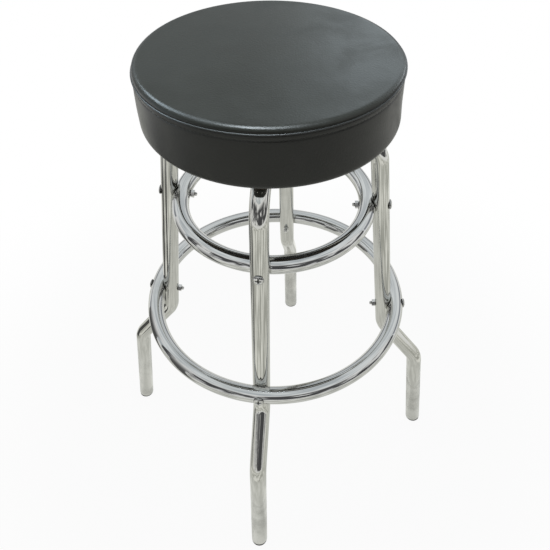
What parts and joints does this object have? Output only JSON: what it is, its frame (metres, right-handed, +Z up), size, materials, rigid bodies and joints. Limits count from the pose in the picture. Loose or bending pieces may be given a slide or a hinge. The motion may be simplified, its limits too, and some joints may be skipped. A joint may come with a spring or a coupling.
{
  "type": "bar stool",
  "caption": "Round padded swivel bar stool on bent chrome tube legs tied by an inner ring and a wider foot ring.",
  "frame": {"origin": "on the floor, under the middle of the seat", "axes": "+Z up along the swivel axis, -Y towards the front leg, +X towards the right leg"},
  "size_m": [0.5484, 0.5484, 0.762],
  "materials": {
    "chrome_tube": "polished chrome plate",
    "zinc_fasteners": "bright zinc",
    "glide_plastic": "matte black",
    "black_plate": "black enamel",
    "bearing_steel": "bare steel",
    "black_vinyl": "satin black vinyl",
    "plywood": "dark stained plywood",
    "foam": "open-cell foam"
  },
  "bodies": {
    "frame": {"leg_front": "chrome_tube", "leg_right": "chrome_tube", "leg_back": "chrome_tube", "leg_left": "chrome_tube", "upper_ring": "chrome_tube", "foot_ring": "chrome_tube", "glide_front": "glide_plastic", "glide_right": "glide_plastic", "glide_back": "glide_plastic", "glide_left": "glide_plastic", "upper_ring_screws": "zinc_fasteners", "upper_ring_nuts": "zinc_fasteners", "foot_ring_screws": "zinc_fasteners", "foot_ring_nuts": "zinc_fasteners", "leg_bolts": "zinc_fasteners", "leg_bolt_nuts": "zinc_fasteners", "swivel_base_plate": "black_plate", "swivel_rivet": "bearing_steel", "swivel_washer": "bearing_steel"},
    "seat": {"swivel_top_plate": "black_plate", "seat_screws": "zinc_fasteners", "seat_tnuts": "zinc_fasteners", "seat_board": "plywood", "seat_foam": "foam", "seat_top_panel": "black_vinyl", "seat_side_band": "black_vinyl", "seat_welt": "black_vinyl", "hem_staples": "zinc_fasteners"},
    "bearing": {"ball_cage": "bearing_steel", "bearing_balls": "bearing_steel"}
  },
  "joints": [
    {"name": "seat_swivel", "type": "hinge", "parent": "frame", "child": "seat", "pos_m": [0, 0, 0.6697], "axis": [0, 0, 1], "continuous": true},
    {"name": "bearing_roll", "type": "hinge", "parent": "frame", "child": "bearing", "pos_m": [0, 0, 0.6697], "axis": [0, 0, 1], "continuous": true}
  ],
  "couplings": [
    {"joint": "bearing_roll", "follows": "seat_swivel", "ratio": 0.5}
  ]
}
